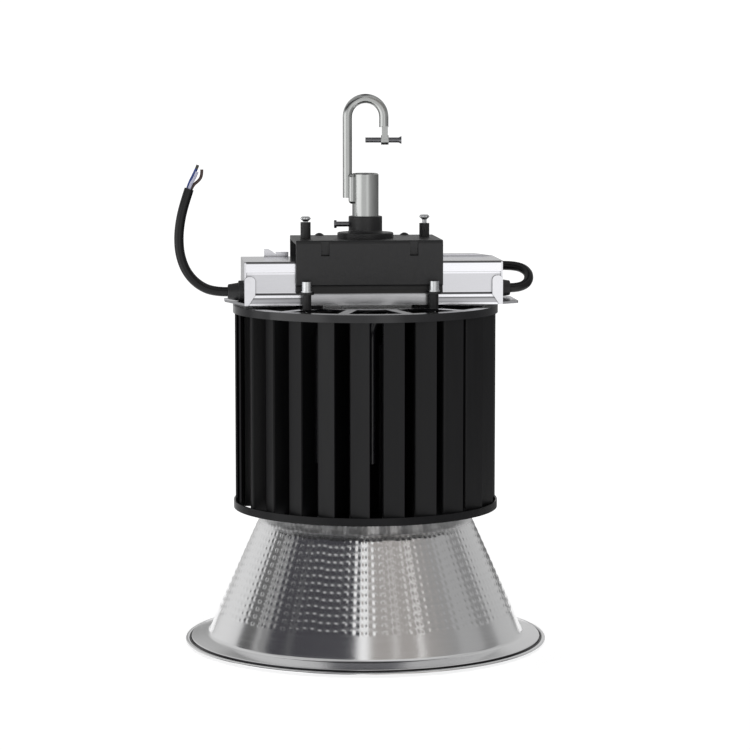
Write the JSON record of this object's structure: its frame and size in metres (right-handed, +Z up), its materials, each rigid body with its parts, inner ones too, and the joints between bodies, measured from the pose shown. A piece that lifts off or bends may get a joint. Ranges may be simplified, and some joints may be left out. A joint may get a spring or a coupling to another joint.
{
  "type": "high bay light",
  "caption": "Pendant high bay light with a hook on a stem, a driver under a bracket, a drum of folded cooling fins and a dimpled conical reflector.",
  "frame": {"origin": "centre of the reflector's rim, on the plane that its rolled edge stands on", "axes": "+Z up along the lamp's axis towards the hook, +X to the right of the front view along the driver, -Y towards the front"},
  "size_m": [0.3181, 0.312, 0.4723],
  "materials": {
    "spun_aluminium": "bright spun sheet with small dimples",
    "bezel_aluminium": "satin",
    "zinc_screw": "bright zinc",
    "seal_rubber": "matt",
    "cover_glass": "clear",
    "board": "white mask",
    "black_paint": "semi-gloss black",
    "fin_paint": "semi-gloss black coated sheet",
    "core_aluminium": "black",
    "coated_copper": "black coated with the fins",
    "driver_aluminium": "satin",
    "black_plastic": "matt",
    "dark_steel": "dark plated",
    "stem_steel": "zinc plated",
    "lead_sheath": "matt black",
    "wire_insulation": "satin"
  },
  "bodies": {
    "root": {"reflector": "spun_aluminium", "lens_ring": "bezel_aluminium", "ring_screws": "zinc_screw", "lens_gasket": "seal_rubber", "lens": "cover_glass", "led_board": "board", "bottom_plate": "black_paint", "top_plate": "black_paint", "core": "core_aluminium", "fin_01": "fin_paint", "fin_02": "fin_paint", "fin_03": "fin_paint", "fin_04": "fin_paint", "fin_05": "fin_paint", "fin_06": "fin_paint", "fin_07": "fin_paint", "fin_08": "fin_paint", "fin_09": "fin_paint", "fin_10": "fin_paint", "fin_11": "fin_paint", "fin_12": "fin_paint", "fin_13": "fin_paint", "fin_14": "fin_paint", "fin_15": "fin_paint", "fin_16": "fin_paint", "fin_17": "fin_paint", "fin_18": "fin_paint", "fin_19": "fin_paint", "fin_20": "fin_paint", "fin_21": "fin_paint", "fin_22": "fin_paint", "fin_23": "fin_paint", "fin_24": "fin_paint", "heat_pipe_1": "coated_copper", "heat_pipe_2": "coated_copper", "heat_pipe_3": "coated_copper", "heat_pipe_4": "coated_copper", "heat_pipe_5": "coated_copper", "heat_pipe_6": "coated_copper", "driver_case": "driver_aluminium", "driver_end_left": "driver_aluminium", "driver_end_right": "driver_aluminium", "gland_left": "black_plastic", "gland_right": "black_plastic", "driver_pads": "seal_rubber", "gear_box": "black_paint", "standoffs": "black_paint", "post_screws": "zinc_screw", "clamp_sleeves": "black_plastic", "clamp_screws": "zinc_screw", "box_screws": "black_paint", "collar": "black_paint", "set_screw": "dark_steel", "stem": "stem_steel", "hook": "stem_steel", "safety_bolt": "dark_steel", "input_lead": "lead_sheath", "lead_wires": "wire_insulation", "output_lead": "lead_sheath", "grommet": "seal_rubber"}
  },
  "joints": []
}
